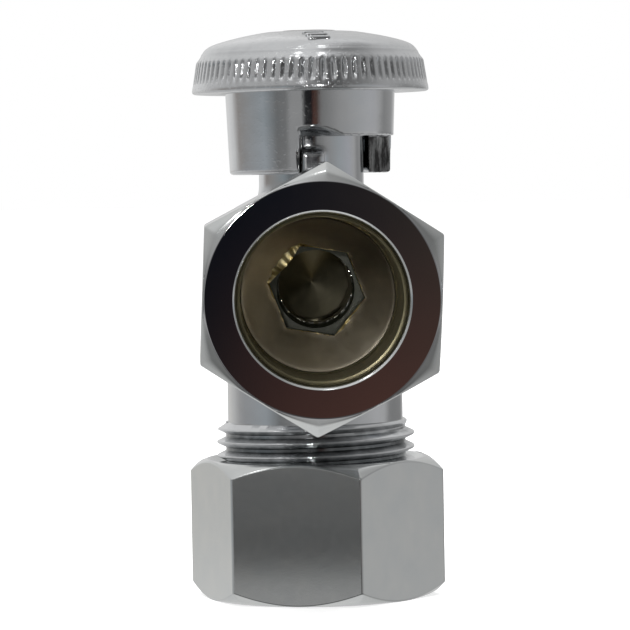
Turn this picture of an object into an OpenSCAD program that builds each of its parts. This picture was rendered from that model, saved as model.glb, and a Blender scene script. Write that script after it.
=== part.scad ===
// Quarter-turn angle stop valve, dual compression, built as a bench assembly.
// Frame: millimetres, +Z up along the inlet and the stem, the outlet points along -Y.
// The origin is the centre of the inlet nut's lower face, on the inlet axis.
// Pose drawn: handle against its open stop, both nuts run on by hand.

/* [Ports] */
// Radius of the sockets that take the supply tubes
tube_r = 8; // [7.5:0.1:8]
// Radius at the crest of both male threads
thread_r = 10.3; // [10.1:0.05:10.4]
// Thread pitch of both ports
pitch = 1.41; // [1.2:0.01:1.6]
// Height of the outlet axis above the inlet nut's lower face
outlet_z = 31.8; // [31:0.1:33]
// Distance from the stem axis to the outlet nut's outer face
outlet_reach = 28; // [27.5:0.1:29]

/* [Compression nuts] */
// Width across the flats of each nut
nut_flats = 23.3; // [23:0.1:24]
// Length of each nut
nut_h = 14.4; // [14:0.1:15]
// Turn of the inlet nut's corners about its axis
inlet_nut_turn = 17.8; // [0:0.1:60]
// Turn of the outlet nut's corners about its axis
outlet_nut_turn = -2.8; // [-30:0.1:30]

/* [Body] */
// Outside radius of the inlet barrel
barrel_r = 9.1; // [8.9:0.05:9.3]
// Outside radius of the stem neck
neck_r = 5.45; // [5.3:0.05:5.6]
// Height of the top of the stem neck
neck_top = 49.6; // [49.4:0.1:49.8]
// Width of the stop lug on the neck
lug_w = 2; // [1.8:0.1:2]

/* [Handle] */
// Width of the handle across its short axis
handle_w = 24.4; // [24:0.1:25]
// Length of the handle along its long axis
handle_l = 36; // [34:0.5:38]
// Height of the handle's lower rim
rim_z = 52.3; // [52:0.1:52.5]
// Height of the top of the handle's dome
dome_z = 59; // [59:0.1:59.4]
// Number of grip ribs round the handle
ribs = 84; // [60:2:90]
// Angle by which the handle's long axis passes the outlet's axis at the open stop
over_turn = 6; // [0:0.5:8]

/* [Ball] */
// Radius of the ball
ball_r = 7.2; // [7:0.05:7.25]
// Radius of the ball's side waterway, which opens to the outlet
port_r = 3.75; // [3.5:0.05:3.9]
// Height of the side waterway's axis above the ball's centre
port_rise = 0.65; // [0:0.05:0.7]
// Radius of the ball's lower waterway, which always faces the inlet
lower_port_r = 3.1; // [2.8:0.1:3.2]

/* [Seat retainer] */
// Width across the flats of the hexagon socket that drives the retainer
socket_flats = 8.5; // [8:0.1:8.6]
// Turn of the hexagon socket about the outlet's axis
socket_turn = -9.6; // [-30:0.1:30]
// Height of the socket and the seat's hole above the axis of the outlet's thread
socket_rise = 0.35; // [0:0.05:0.4]

/* [Hidden] */
$fn = 96;

eps = 0.01;                      // overlap that joins two shapes cleanly
past = 1;                        // how far a cut runs past the faces that it opens
far = 20;                        // length of a cut that runs right out of a part
run = 0.05;                      // clearance of a part that turns or slides in another
gap = 0.02;                      // clearance of a part that is pressed flat against another

chrome = [0.72, 0.73, 0.74];
brass = [0.72, 0.58, 0.32];
ptfe = [0.93, 0.93, 0.9];
rubber = [0.07, 0.07, 0.08];
acetal = [0.88, 0.88, 0.84];
steel = [0.62, 0.62, 0.62];

// Compression joint, measured along a port from its nut's outer face
nut_corner_r = nut_flats / 2 / cos(30);
nut_face_r = nut_flats / 2 - 0.08;
nut_chamfer_h = (nut_corner_r - nut_face_r) * tan(36);
nut_hole_r = tube_r + 0.25;
nut_hole_h = 2.6;
nut_lip = 0.45;                  // chamfer round the nut's hole
nut_mouth = 0.6;                 // chamfer where the nut's thread opens
nut_bore_r = thread_r + 0.1;
port_end = 8.4;                  // where the body's male end starts
port_cone_h = 1.9;
port_mouth_r = tube_r + 1.3;
ferrule_start = nut_hole_h + 0.15;
ferrule_h = 7.35;
ferrule_r = tube_r + 1.25;
ferrule_front_r = tube_r + 0.3;  // its end in the nut
ferrule_back_r = tube_r + 0.1;   // its end in the body's cone
ferrule_back_h = (ferrule_r - ferrule_back_r) * port_cone_h / (port_mouth_r - tube_r);
thread_h = 9.9;                  // length of the inlet's thread
thread_depth = 0.78;
thread_root = 0.1;               // share of the pitch before each flank starts
socket_edge = [0.3, 0.2];        // bevel at the bottom of a tube socket
inlet_shoulder_z = 20.5;         // the inlet tube stops here
waterway_r = 4.5;

// Outlet, measured from the stem axis towards the outlet's mouth
outlet_thread_start = 9.7;
outlet_end = outlet_reach - port_end;
outlet_barrel_r = 9.4;
barrel_z = port_end + thread_h - pitch / 2;
cone_z = 38.6;                   // where the barrel narrows to the neck
cone_h = 3.7;
chamber_r = 10.2;                // outside of the body round the ball
rear_wall = 11;                  // outside of the body behind the ball
rear_boss_r = 8;
drill_past = 3.2;                // how far the side waterway's drill passes the ball's centre
drill_angle = 31;                // slope of the drill's cone
cavity_r = ball_r + 0.3;
cavity_rear = 7.4;
cavity_front = 10.4;             // where the retainer's thread starts
seat_back = 7.3;                 // each seat's flat back, from the ball's centre
seat_front = 4.6;
seat_r = cavity_r - run;
seat_ring_r = cavity_r - 1.2;    // inner radius of the pocket for a seat's O-ring
seat_ring_w = 1.1;
seat_ring_section = 0.53;
seat_hole_r = 4;
rear_hole_r = 2.5;
retainer_out = 14.5;
thread_bore_r = tube_r - 0.2;    // where the retainer screws in, at its crests
retainer_r = thread_bore_r - run;
retainer_back = seat_back + 0.05;
retainer_thread = cavity_front + 0.1;
retainer_cone_h = 2.9;
socket_r = socket_flats / 2 / cos(30);
retainer_groove = [8.2, 9.4];
retainer_ring_r = 0.5;           // section radius of the retainer's O-ring

// Stem, by height
stem_r = 3.55;
stem_bore_r = stem_r + run;
flange_r = 4.35;
flange_bore_r = 4.45;
flange_z = outlet_z + ball_r + 0.5;
flange_h = 1.4;
shoulder_z = flange_z + flange_h + 0.6;
tang_w = 2.1;
tang_l = 7;
slot_h = 2;
tang_z = outlet_z + ball_r - slot_h + 0.2;
stem_flat = 5;                   // across the two flats that drive the handle
stem_top = 55;
ring_r = 0.58;                   // section radius of the stem's O-rings
groove_w = 1.5;
groove_r = stem_r - 2 * ring_r - 0.03;
stem_ring_z = [43.6, 46.2];
flats_z = neck_top + 0.5;
washer_h = 0.5;
neck_washer_h = 0.55;
tap_r = 2;
tap_z = 48.6;

// Handle, by height
end_r = 7.5;                     // round ends of the handle's oval
oval_points = 72;
skirt_r_top = 8.78;
skirt_r_low = 8.58;
skirt_bore_r = 6.1;
skirt_z = 43.9;
cut_z = 48;                      // roof of the skirt's quarter-turn window
band_z = [rim_z + 1.3, rim_z + 3.7];
shell_z = 56.2;                  // ceiling of the hollow under the dome
shell_w = 1.7;
hub_z = neck_top + 0.65;
socket_z = stem_top + 0.1;
recess_r = 3.7;
recess_z = 56.3;
screw_head_r = 3.4;
screw_head_z = [recess_z + washer_h, dome_z - 0.25];
screw_top_r = 2.7;
screw_r = 1.95;
cross = [1, 4, 1.2];             // width, length and depth of the screw's cross
lug_r = 8.2;
lug_root = 4;
lug_z = [40.8, 46.6];
lug_half_angle = asin(lug_w / 2 / skirt_bore_r) + 0.35;
dome_rx = 34;                    // the dome's radius across the handle
dome_ry = 76;                    // and along it
top_inset = 1;
band_inset = 0.45;
rib_h = 0.35;

// Points of an oval with a round end of radius end_r, by angle round it
function oval(w, l, end_r, n) =
  let (a = w / 2, b = l / 2, r = end_r, c = b - r,
       big = (a * a + c * c - r * r) / (2 * (a - r)),
       limit = atan2(c, big - a))
  [for (i = [0 : n - 1])
    let (t = 360 * i / n, q = t % 180, near = min(q, 180 - q), sx = (t < 90 || t > 270) ? 1 : -1,
         sy = t < 180 ? 1 : -1)
    near < limit
      ? [sx * (big * cos(near) - (big - a)), sy * big * sin(near)]
      : [sx * r * cos(near), sy * (c + r * sin(near))]];

// The handle's oval, drawn in by an inset
function handle_oval(inset, n = oval_points) =
  oval(handle_w - 2 * inset, handle_l - 2 * inset, end_r - inset, n);

// That oval with trapezoid ribs standing on it, four points to a rib
function ribbed(inset, h) =
  let (n = 4 * ribs, ring = handle_oval(inset + h, n))
  [for (i = [0 : n - 1])
    let (d = ring[(i + 1) % n] - ring[(i + n - 1) % n], out = [d[1], -d[0]] / norm(d))
    (i % 4 < 2) ? ring[i] + h * out : ring[i]];

// A thread drawn as closed rings, from height 0 to h along +Z
module thread_rings(h) {
  count = floor(h / pitch);
  root = thread_r - thread_depth;
  crest = pitch / 8;
  rotate_extrude()
    polygon(concat([[0, 0], [root, 0]],
      [for (i = [0 : count - 1]) each [
        [root, (i + thread_root) * pitch],
        [thread_r, (i + 0.5) * pitch - crest / 2],
        [thread_r, (i + 0.5) * pitch + crest / 2],
        [root, (i + 1 - thread_root) * pitch]]],
      [[root, h], [0, h]]));
}

// The inside of a male end, drawn with its mouth at height 0: cone, then the tube socket to depth d
module tube_socket(d) {
  rotate_extrude()
    polygon([[0, -past], [port_mouth_r, -past], [port_mouth_r, 0], [tube_r, port_cone_h],
             [tube_r, d - socket_edge[1]], [tube_r - socket_edge[0], d], [0, d]]);
}

module o_ring(centre_r, section_r) {
  rotate_extrude() translate([centre_r, 0]) circle(section_r);
}

module ring(outer, inner, h) {
  difference() {
    cylinder(r = outer, h = h);
    translate([0, 0, -past]) cylinder(r = inner, h = h + 2 * past);
  }
}

// Places what is drawn up +Z onto the outlet axis, pointing out of the outlet
module on_outlet(distance = 0) {
  translate([0, -distance, outlet_z]) rotate([90, 0, 0]) children();
}

// Places a compression joint's own frame, with its nut's outer face at height 0, on the outlet
module at_outlet_nut() {
  on_outlet(outlet_reach) rotate([180, 0, 0]) children();
}

module valve_body() {
  color(chrome)
  difference() {
    union() {
      translate([0, 0, port_end]) thread_rings(thread_h);
      translate([0, 0, barrel_z]) cylinder(r = barrel_r, h = cone_z - barrel_z);
      translate([0, 0, cone_z - eps]) cylinder(r1 = barrel_r, r2 = neck_r, h = cone_h);
      translate([0, 0, cone_z]) cylinder(r = neck_r, h = neck_top - cone_z);
      translate([0, 0, outlet_z]) sphere(r = chamber_r);
      on_outlet(-rear_wall) cylinder(r = rear_boss_r, h = rear_wall);
      on_outlet() cylinder(r = outlet_barrel_r, h = outlet_thread_start + pitch / 4);
      on_outlet(outlet_thread_start) thread_rings(outlet_end - outlet_thread_start);
      stop_lug();
    }
    translate([0, 0, port_end]) tube_socket(inlet_shoulder_z - port_end);
    translate([0, 0, inlet_shoulder_z - past]) cylinder(r = waterway_r, h = outlet_z - inlet_shoulder_z);
    translate([0, -outlet_end, outlet_z]) rotate([-90, 0, 0]) tube_socket(outlet_end - retainer_out);
    on_outlet(cavity_front - past) cylinder(r = thread_bore_r, h = retainer_out - cavity_front + 2 * past);
    on_outlet(-cavity_rear) cylinder(r = cavity_r, h = cavity_rear + cavity_front + past);
    translate([0, 0, outlet_z]) cylinder(r = flange_bore_r, h = shoulder_z - outlet_z);
    translate([0, 0, outlet_z]) cylinder(r = stem_bore_r, h = neck_top - outlet_z + past);
  }
}

// The cast lug on the neck that the handle's window turns against
module stop_lug() {
  translate([-lug_w / 2, -lug_r, lug_z[0]]) cube([lug_w, lug_r - lug_root, lug_z[1] - lug_z[0]]);
}

// Threaded ring in the outlet that holds the seats and the ball, with a hexagon socket
module seat_retainer() {
  h = retainer_out - retainer_back;
  color(brass)
  on_outlet(retainer_back)
  difference() {
    union() {
      cylinder(r = seat_r, h = h);
      translate([0, 0, retainer_thread - retainer_back])
        cylinder(r = retainer_r, h = retainer_out - retainer_thread);
    }
    translate([0, 0, h - retainer_cone_h])
      cylinder(r1 = socket_r, r2 = retainer_r - run, h = retainer_cone_h + eps);
    translate([0, socket_rise, -past]) rotate([0, 0, socket_turn])
      cylinder(r = socket_r, h = h + 2 * past, $fn = 6);
    translate([0, 0, retainer_groove[0] - retainer_back])
      ring(seat_r + past, seat_r - 2 * retainer_ring_r - gap, retainer_groove[1] - retainer_groove[0]);
  }
}

module retainer_o_ring() {
  color(rubber) on_outlet((retainer_groove[0] + retainer_groove[1]) / 2)
    o_ring(seat_r - retainer_ring_r, retainer_ring_r);
}

// A seat drawn with the ball's centre at the origin and its back towards +Z
module seat(hole_r, rise) {
  difference() {
    translate([0, 0, seat_front]) cylinder(r = seat_r, h = seat_back - seat_front);
    sphere(r = ball_r + gap);
    translate([0, rise, 0]) cylinder(r = hole_r, h = far);
    translate([0, 0, seat_back - seat_ring_w]) ring(seat_r + past, seat_ring_r, seat_ring_w + past);
  }
}

module seat_o_ring() {
  translate([0, 0, seat_back - seat_ring_w / 2]) o_ring((seat_r + seat_ring_r) / 2, seat_ring_section);
}

module outlet_seat() {
  color(ptfe) on_outlet() seat(seat_hole_r, socket_rise);
}

module outlet_seat_o_ring() {
  color(rubber) on_outlet() seat_o_ring();
}

module rear_seat() {
  color(ptfe) on_outlet() rotate([180, 0, 0]) seat(rear_hole_r, 0);
}

module rear_seat_o_ring() {
  color(rubber) on_outlet() rotate([180, 0, 0]) seat_o_ring();
}

// The handle and its screw: drawn in line with the outlet, shown against the open stop
module turned() {
  rotate([0, 0, over_turn]) children();
}

module ball() {
  color(chrome)
  translate([0, 0, outlet_z])
  difference() {
    sphere(r = ball_r);
    translate([0, 0, -ball_r - past]) cylinder(r = lower_port_r, h = ball_r + past);
    translate([0, drill_past, port_rise]) {
      rotate([90, 0, 0]) cylinder(r = port_r, h = ball_r + drill_past + past);
      rotate([-90, 0, 0]) cylinder(r1 = port_r, r2 = 0, h = port_r * tan(drill_angle));
    }
    translate([-tang_w / 2 - run, -ball_r, ball_r - slot_h])
      cube([tang_w + 2 * run, 2 * ball_r, slot_h + past]);
  }
}

// The tang is in line with the ball's slot, and the flats are in line with the handle
module stem() {
  color(brass)
  difference() {
    union() {
      intersection() {
        translate([0, 0, tang_z]) cylinder(r = tang_l / 2, h = flange_z + eps - tang_z);
        translate([-tang_w / 2, -tang_l, tang_z - past])
          cube([tang_w, 2 * tang_l, flange_z - tang_z + 2 * past]);
      }
      translate([0, 0, flange_z]) cylinder(r = flange_r, h = flange_h);
      translate([0, 0, flange_z]) cylinder(r = stem_r, h = flats_z - flange_z);
      turned()
      intersection() {
        translate([0, 0, flats_z - past]) cylinder(r = stem_r - run, h = stem_top - flats_z + past);
        translate([-stem_flat / 2, -stem_r, flats_z - past]) cube([stem_flat, 2 * stem_r, stem_top]);
      }
    }
    for (z = stem_ring_z) translate([0, 0, z - groove_w / 2]) ring(stem_r + past, groove_r, groove_w);
    translate([0, 0, tap_z]) cylinder(r = tap_r, h = far);
  }
}

module stem_o_ring_lower() {
  color(rubber) translate([0, 0, stem_ring_z[0]]) o_ring(stem_r - ring_r, ring_r);
}

module stem_o_ring_upper() {
  color(rubber) translate([0, 0, stem_ring_z[1]]) o_ring(stem_r - ring_r, ring_r);
}

module thrust_washer() {
  color(ptfe) translate([0, 0, flange_z + flange_h + gap]) ring(flange_r, stem_r + run, washer_h);
}

module neck_bearing_washer() {
  color(acetal) translate([0, 0, neck_top + gap]) ring(neck_r - 0.2, stem_r + run, neck_washer_h);
}

// The dome: a torus piece that curves dome_rx across the handle and dome_ry along it
module dome() {
  translate([0, 0, dome_z - dome_ry]) rotate([0, 90, 0])
    rotate_extrude() translate([dome_ry - dome_rx, 0]) intersection() {
      circle(r = dome_rx);
      translate([0, -dome_rx]) square([dome_rx, 2 * dome_rx]);
    }
}

module handle() {
  color(chrome)
  turned()
  difference() {
    union() {
      difference() {
        union() {
          translate([0, 0, rim_z]) linear_extrude(band_z[0] - rim_z)
            polygon(handle_oval(0));
          translate([0, 0, band_z[0] - eps]) linear_extrude(band_z[1] - band_z[0])
            polygon(ribbed(band_inset, rib_h));
          intersection() {
            translate([0, 0, band_z[0]]) linear_extrude(dome_z) polygon(handle_oval(top_inset));
            dome();
          }
        }
        translate([0, 0, rim_z - past]) linear_extrude(shell_z - rim_z + past)
          polygon(handle_oval(top_inset + shell_w));
      }
      translate([0, 0, skirt_z]) cylinder(r1 = skirt_r_low, r2 = skirt_r_top, h = shell_z - skirt_z + 0.2);
    }
    translate([0, 0, skirt_z - past]) cylinder(r = skirt_bore_r, h = hub_z - skirt_z + past);
    drive_socket();
    translate([0, 0, hub_z]) cylinder(r = screw_r + 0.2, h = far);
    translate([0, 0, recess_z]) cylinder(r = recess_r, h = far);
    window();
  }
}

// The window in the skirt: it spans the quarter turn and the lug
module window() {
  inner = skirt_bore_r - past;
  translate([0, 0, skirt_z - past]) rotate([0, 0, -90 - over_turn - lug_half_angle])
    rotate_extrude(angle = 90 + 2 * lug_half_angle)
      translate([inner, 0]) square([skirt_r_top + past - inner, cut_z - skirt_z + past]);
}

// Socket in the hub that fits the stem's two flats
module drive_socket() {
  intersection() {
    translate([0, 0, hub_z - past]) cylinder(r = stem_r, h = socket_z - hub_z + past);
    translate([-stem_flat / 2 - run, -stem_r, hub_z - past])
      cube([stem_flat + 2 * run, 2 * stem_r, socket_z - hub_z + past]);
  }
}

module handle_screw() {
  color(steel)
  turned()
  difference() {
    union() {
      translate([0, 0, screw_head_z[0]])
        cylinder(r1 = screw_head_r, r2 = screw_top_r, h = screw_head_z[1] - screw_head_z[0]);
      translate([0, 0, tap_z + 0.4]) cylinder(r = screw_r, h = screw_head_z[0] - tap_z);
    }
    for (a = [0, 90]) rotate([0, 0, a])
      translate([-cross[0] / 2, -cross[1] / 2, screw_head_z[1] - cross[2]])
        cube([cross[0], cross[1], cross[2] + past]);
  }
}

module lock_washer() {
  color(steel) translate([0, 0, recess_z + gap / 2])
    ring(screw_head_r - 0.1, screw_r + 0.15, washer_h - gap);
}

// Brass sleeve, drawn with its nut's outer face at height 0
module ferrule() {
  translate([0, 0, ferrule_start])
    rotate_extrude()
      polygon([[tube_r, 0], [ferrule_front_r, 0], [ferrule_r, ferrule_r - ferrule_front_r],
               [ferrule_r, ferrule_h - ferrule_back_h], [ferrule_back_r, ferrule_h], [tube_r, ferrule_h]]);
}

// Hexagon compression nut with 36 degree chamfers, drawn with its outer face at height 0
module nut() {
  difference() {
    intersection() {
      cylinder(r = nut_corner_r, h = nut_h, $fn = 6);
      rotate_extrude()
        polygon([[0, 0], [nut_face_r, 0], [nut_corner_r, nut_chamfer_h],
                 [nut_corner_r, nut_h - nut_chamfer_h], [nut_face_r, nut_h], [0, nut_h]]);
    }
    rotate_extrude()
      polygon([[0, -past], [nut_hole_r + nut_lip + past, -past], [nut_hole_r, nut_lip],
               [nut_hole_r, nut_hole_h], [nut_bore_r, nut_hole_h + nut_bore_r - nut_hole_r],
               [nut_bore_r, nut_h - nut_mouth], [nut_bore_r + nut_mouth, nut_h],
               [nut_bore_r + nut_mouth, nut_h + past], [0, nut_h + past]]);
  }
}

module inlet_ferrule() {
  color(brass) ferrule();
}

module inlet_nut() {
  color(chrome) rotate([0, 0, inlet_nut_turn - 90]) nut();
}

module outlet_ferrule() {
  color(brass) at_outlet_nut() ferrule();
}

module outlet_nut() {
  color(chrome) at_outlet_nut() rotate([0, 0, outlet_nut_turn - 90]) nut();
}

valve_body();
seat_retainer();
retainer_o_ring();
outlet_seat();
outlet_seat_o_ring();
rear_seat();
rear_seat_o_ring();
stem();
stem_o_ring_lower();
stem_o_ring_upper();
thrust_washer();
neck_bearing_washer();
ball();
handle();
handle_screw();
lock_washer();
inlet_ferrule();
inlet_nut();
outlet_ferrule();
outlet_nut();
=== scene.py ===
import math

import bmesh
import bpy
import numpy as np
from mathutils import Matrix, Vector


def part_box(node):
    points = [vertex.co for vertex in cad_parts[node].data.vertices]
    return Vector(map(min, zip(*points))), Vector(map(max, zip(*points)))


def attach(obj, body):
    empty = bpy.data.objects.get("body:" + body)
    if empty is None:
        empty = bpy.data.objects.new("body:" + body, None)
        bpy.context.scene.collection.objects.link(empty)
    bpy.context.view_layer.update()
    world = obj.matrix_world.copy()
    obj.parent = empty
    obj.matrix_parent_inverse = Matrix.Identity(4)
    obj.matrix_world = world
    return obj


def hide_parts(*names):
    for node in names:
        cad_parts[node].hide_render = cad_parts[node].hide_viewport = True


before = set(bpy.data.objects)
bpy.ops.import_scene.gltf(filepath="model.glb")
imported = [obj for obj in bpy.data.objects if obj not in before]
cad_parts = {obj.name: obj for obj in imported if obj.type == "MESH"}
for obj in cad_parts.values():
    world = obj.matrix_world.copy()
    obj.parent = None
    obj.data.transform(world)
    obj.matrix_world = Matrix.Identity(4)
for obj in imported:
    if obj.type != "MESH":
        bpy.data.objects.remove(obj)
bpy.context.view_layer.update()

# Lengths are millimetres in this script's own geometry, and metres once they are in Blender.
MM = 0.001
ROUND = 192                 # columns round a turned surface


def cad(node):
    """A CAD node's lowest and highest corners, in millimetres."""
    low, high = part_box(node)
    return np.array(low) / MM, np.array(high) / MM


# ---------------------------------------------------------------- sizes from the frame

NUT_H = cad("inlet_nut")[1][2]
NUT_CORNER = 13.45          # radius to the hexagon's sharp corners
NUT_FLATS = NUT_CORNER * 2 * math.cos(math.radians(30))
NUT_FACE = NUT_FLATS / 2 - 0.08
REACH = -cad("outlet_nut")[0][1]
OUTLET_Z = (cad("outlet_ferrule")[0][2] + cad("outlet_ferrule")[1][2]) / 2
INLET_NUT_TURN = math.radians(17.8)
OUTLET_NUT_TURN = math.radians(-2.8)

CREST = 10.3                # radii of the male threads' crests and roots
ROOT = CREST - 0.93
PITCH = 1.41
MOUTH = 9.75                # radius of a port's end face
TUBE = 8.0                  # radius of the tube sockets
BARREL = 9.12               # radius of the body between the inlet's thread and the ball
NECK = 5.45                 # radius of the neck that the handle's skirt covers
NECK_TOP = 49.6
CAVITY = 7.5                # radius of the ball's chamber
CAVITY_BACK = 7.4           # and how far behind the stem axis it ends
FLANGE_BORE = 4.45          # the neck's wider bore, round the stem's flange
FLANGE_TOP = 41.5
STEM_BORE = 3.6             # round the stem, in the neck and in the handle
WATERWAY = 4.5              # between the inlet's tube socket and the ball
TUBE_STOP = 20.5            # height of the inlet socket's shoulder
PORT_END = cad("valve_body")[0][2]
THREAD_BORE = TUBE - 0.2    # radius of the retainer's thread
THREAD_TOP = PORT_END + 9.9
BOSS_END = 9.7              # where the outlet's thread starts, from the stem axis
OUTLET_END = REACH - PORT_END

RETAINER_OUT = -cad("seat_retainer")[0][1]
RETAINER_BACK = -cad("seat_retainer")[1][1]
KEY = 8.5                   # across the flats of the hexagon socket
KEY_TURN = math.radians(-9.6)
KEY_RISE = 0.35             # the key socket and the seat's hole sit this far above the outlet's axis

BALL = 7.2                  # radius
PORT_R = 3.75               # the ball's side waterway
PORT_RISE = 0.65

HANDLE_TURN = math.radians(6)
HANDLE_W = 24.4             # the oval across and along
HANDLE_L = 36.0
HANDLE_END = 7.5            # radius of the oval's round ends
RIBS = 84                   # round the handle's edge
RIM_Z = 52.3                # the handle's lower edge, and the top of its dome
DOME_Z = 58.9
DOME_R = 33.5               # the dome's radius across the handle
SKIRT_Z = cad("handle")[0][2]
SKIRT = 8.45                # the skirt's radius at its lower end
SKIRT_BORE = 6.1            # round the neck
WINDOW_Z = 47.75            # the roof of the skirt's window
WINDOW_PLAY = 9.8           # degrees that the window opens past a quarter turn, at each end

# ---------------------------------------------------------------- mesh tools


def make(name, shells, materials, body, node, crease=32, at=(0, 0, 0)):
    """One piece from shells of (points, faces, material index), riding on a body in place of a CAD node."""
    points, faces, marks = [], [], []
    start = 0
    for shell_points, shell_faces, mark in shells:
        points.append(np.asarray(shell_points, float).reshape(-1, 3))
        faces += [tuple(int(i) + start for i in f) for f in shell_faces]
        marks += list(mark) if hasattr(mark, "__len__") else [mark] * len(shell_faces)
        start += len(points[-1])
    mesh = bpy.data.meshes.new(name)
    mesh.from_pydata(((np.vstack(points) - np.array(at)) * MM).tolist(), [], faces)
    for m in materials:
        mesh.materials.append(m)
    mesh.polygons.foreach_set("material_index", marks)
    work = bmesh.new()
    work.from_mesh(mesh)
    bmesh.ops.remove_doubles(work, verts=work.verts, dist=2e-6)
    bmesh.ops.dissolve_degenerate(work, edges=work.edges, dist=1e-6)
    bmesh.ops.recalc_face_normals(work, faces=work.faces)
    work.to_mesh(mesh)
    work.free()
    mesh.polygons.foreach_set("use_smooth", [True] * len(mesh.polygons))
    mesh.set_sharp_from_angle(angle=math.radians(crease))
    piece = bpy.data.objects.new(name, mesh)
    bpy.context.scene.collection.objects.link(piece)
    piece.location = np.array(at) * MM
    shading = piece.modifiers.new("even shading", "WEIGHTED_NORMAL")
    shading.keep_sharp = True
    shading.weight = 80
    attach(piece, body)
    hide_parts(node)


def net(rows, columns, close_rows=False, close_columns=True):
    """The quads between a grid's points, which are stored row by row."""
    faces = []
    for r in range(rows if close_rows else rows - 1):
        for c in range(columns if close_columns else columns - 1):
            r2, c2 = (r + 1) % rows, (c + 1) % columns
            faces.append((r * columns + c, r * columns + c2, r2 * columns + c2, r2 * columns + c))
    return faces


def rounded(outline, radii, steps=4):
    """A closed outline with each corner turned into an arc of its own radius."""
    outline = [np.array(p, float) for p in outline]
    n = len(outline)
    out = []
    for i, p in enumerate(outline):
        a, b = outline[i - 1] - p, outline[(i + 1) % n] - p
        la, lb = np.linalg.norm(a), np.linalg.norm(b)
        a, b = a / la, b / lb
        angle = math.acos(np.clip(a @ b, -1, 1))
        reach = min(radii[i] / math.tan(angle / 2), 0.45 * la, 0.45 * lb)
        radius = reach * math.tan(angle / 2)
        centre = p + (a + b) / np.linalg.norm(a + b) * (radius / math.sin(angle / 2))
        start, end = p + a * reach - centre, p + b * reach - centre
        turn = math.atan2(start[0] * end[1] - start[1] * end[0], start @ end)
        for s in range(steps + 1):
            t = turn * s / steps
            out.append(centre + np.array([start[0] * math.cos(t) - start[1] * math.sin(t),
                                          start[0] * math.sin(t) + start[1] * math.cos(t)]))
    return np.array(out)


def turned(profile, closed, columns=ROUND):
    """A profile of (radius, height) turned about Z, as points and faces."""
    profile = np.array(profile, float)
    angle = np.arange(columns) * 2 * math.pi / columns
    points = np.stack([np.outer(profile[:, 0], np.cos(angle)), np.outer(profile[:, 0], np.sin(angle)),
                       np.repeat(profile[:, 1:], columns, 1)], -1)
    return points, net(len(profile), columns, close_rows=closed)


def to_outlet(points, distance=0.0):
    """Takes points drawn up +Z to the outlet's axis, pointing out of the outlet."""
    p = np.asarray(points, float)
    return np.stack([p[..., 0], -distance - p[..., 2], OUTLET_Z + p[..., 1]], -1)


def spun(points, angle):
    """Points turned about Z."""
    p = np.asarray(points, float)
    c, s = math.cos(angle), math.sin(angle)
    return np.stack([p[..., 0] * c - p[..., 1] * s, p[..., 0] * s + p[..., 1] * c, p[..., 2]], -1)


def thread(low, high, end_radius, columns=ROUND):
    """A right-hand male thread from its mouth at height low to high, where it runs out."""
    half = [(0.0, 0.0), (0.10, 0.0), (0.135, 0.05), (0.40, 0.90), (0.43, 0.965), (0.465, 0.995)]
    shape = half + [(0.50, 1.0)] + [(1 - place, lift) for place, lift in half[:0:-1]]
    place, lift = np.array(shape).T
    turns = math.ceil((high - low) / PITCH) + 2
    rows = (np.arange(turns)[:, None] + place[None, :]).ravel()
    around = np.arange(columns + 1) / columns
    z = low + (rows[:, None] - 1.5 + around[None, :]) * PITCH
    runout, lead_in, lead_slope = 0.9, 2.0, 1.2
    fade = np.clip((high - z) / runout, 0, 1)
    r = ROOT + (CREST - ROOT) * np.tile(lift, turns)[:, None] * fade
    limit = MOUTH + (np.clip(z, low, None) - low) * lead_slope
    r = np.where(z < low + lead_in, np.minimum(r, limit), r)
    r = np.where(z > high - 1e-9, end_radius, r)
    r = np.where(z < low + 1e-9, MOUTH, r)
    z = np.clip(z, low, high)
    angle = around * 2 * math.pi
    points = np.stack([r * np.cos(angle), r * np.sin(angle), z], -1)
    return points, net(len(rows), columns + 1, close_columns=False)


def skin(distance, low, high, cell):
    """The surface where distance(points) is zero, as quads; every point is then moved exactly onto it."""
    passes, nudge = 8, 0.01
    axes = [np.arange(a - 2 * cell, b + 3 * cell, cell) for a, b in zip(low, high)]
    points = np.stack(np.meshgrid(*axes, indexing="ij"), -1)
    value = distance(points)
    shape = tuple(np.array(value.shape) - 1)

    def corner(field, at):
        return field[at[0]:at[0] + shape[0], at[1]:at[1] + shape[1], at[2]:at[2] + shape[2]]

    total, count = np.zeros(shape + (3,)), np.zeros(shape)
    for axis in range(3):
        others = [n for n in range(3) if n != axis]
        for u in (0, 1):
            for v in (0, 1):
                start = [0, 0, 0]
                start[others[0]], start[others[1]] = u, v
                end = list(start)
                end[axis] = 1
                a, b = corner(value, start), corner(value, end)
                crossed = (a < 0) != (b < 0)
                share = np.where(crossed, a / np.where(crossed, a - b, 1), 0)
                step = np.zeros(3)
                step[axis] = cell
                total += crossed[..., None] * (corner(points, start) + share[..., None] * step)
                count += crossed
    used = count > 0
    index = np.full(shape, -1)
    index[used] = np.arange(used.sum())
    found = total[used] / count[used][:, None]
    faces = []
    for axis in range(3):
        n = value.shape[axis]
        first = np.take(value, range(n - 1), axis) < 0
        second = np.take(value, range(1, n), axis) < 0
        a, b = [m for m in range(3) if m != axis]
        edge = np.argwhere(first != second)
        sides = []
        for da, db in ((0, 0), (-1, 0), (-1, -1), (0, -1)):
            shifted = edge.copy()
            shifted[:, a] += da
            shifted[:, b] += db
            sides.append(index[tuple(shifted.T)])
        faces.append(np.stack(sides, -1))
    faces = np.vstack(faces)
    for _ in range(passes):
        slope = np.stack([distance(found + nudge * e) - distance(found - nudge * e) for e in np.eye(3)], -1)
        slope /= 2 * nudge
        size = np.maximum((slope ** 2).sum(-1), 0.05)
        found = found - np.clip(distance(found) / size, -cell, cell)[:, None] * slope
    return found, faces.tolist()


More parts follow.
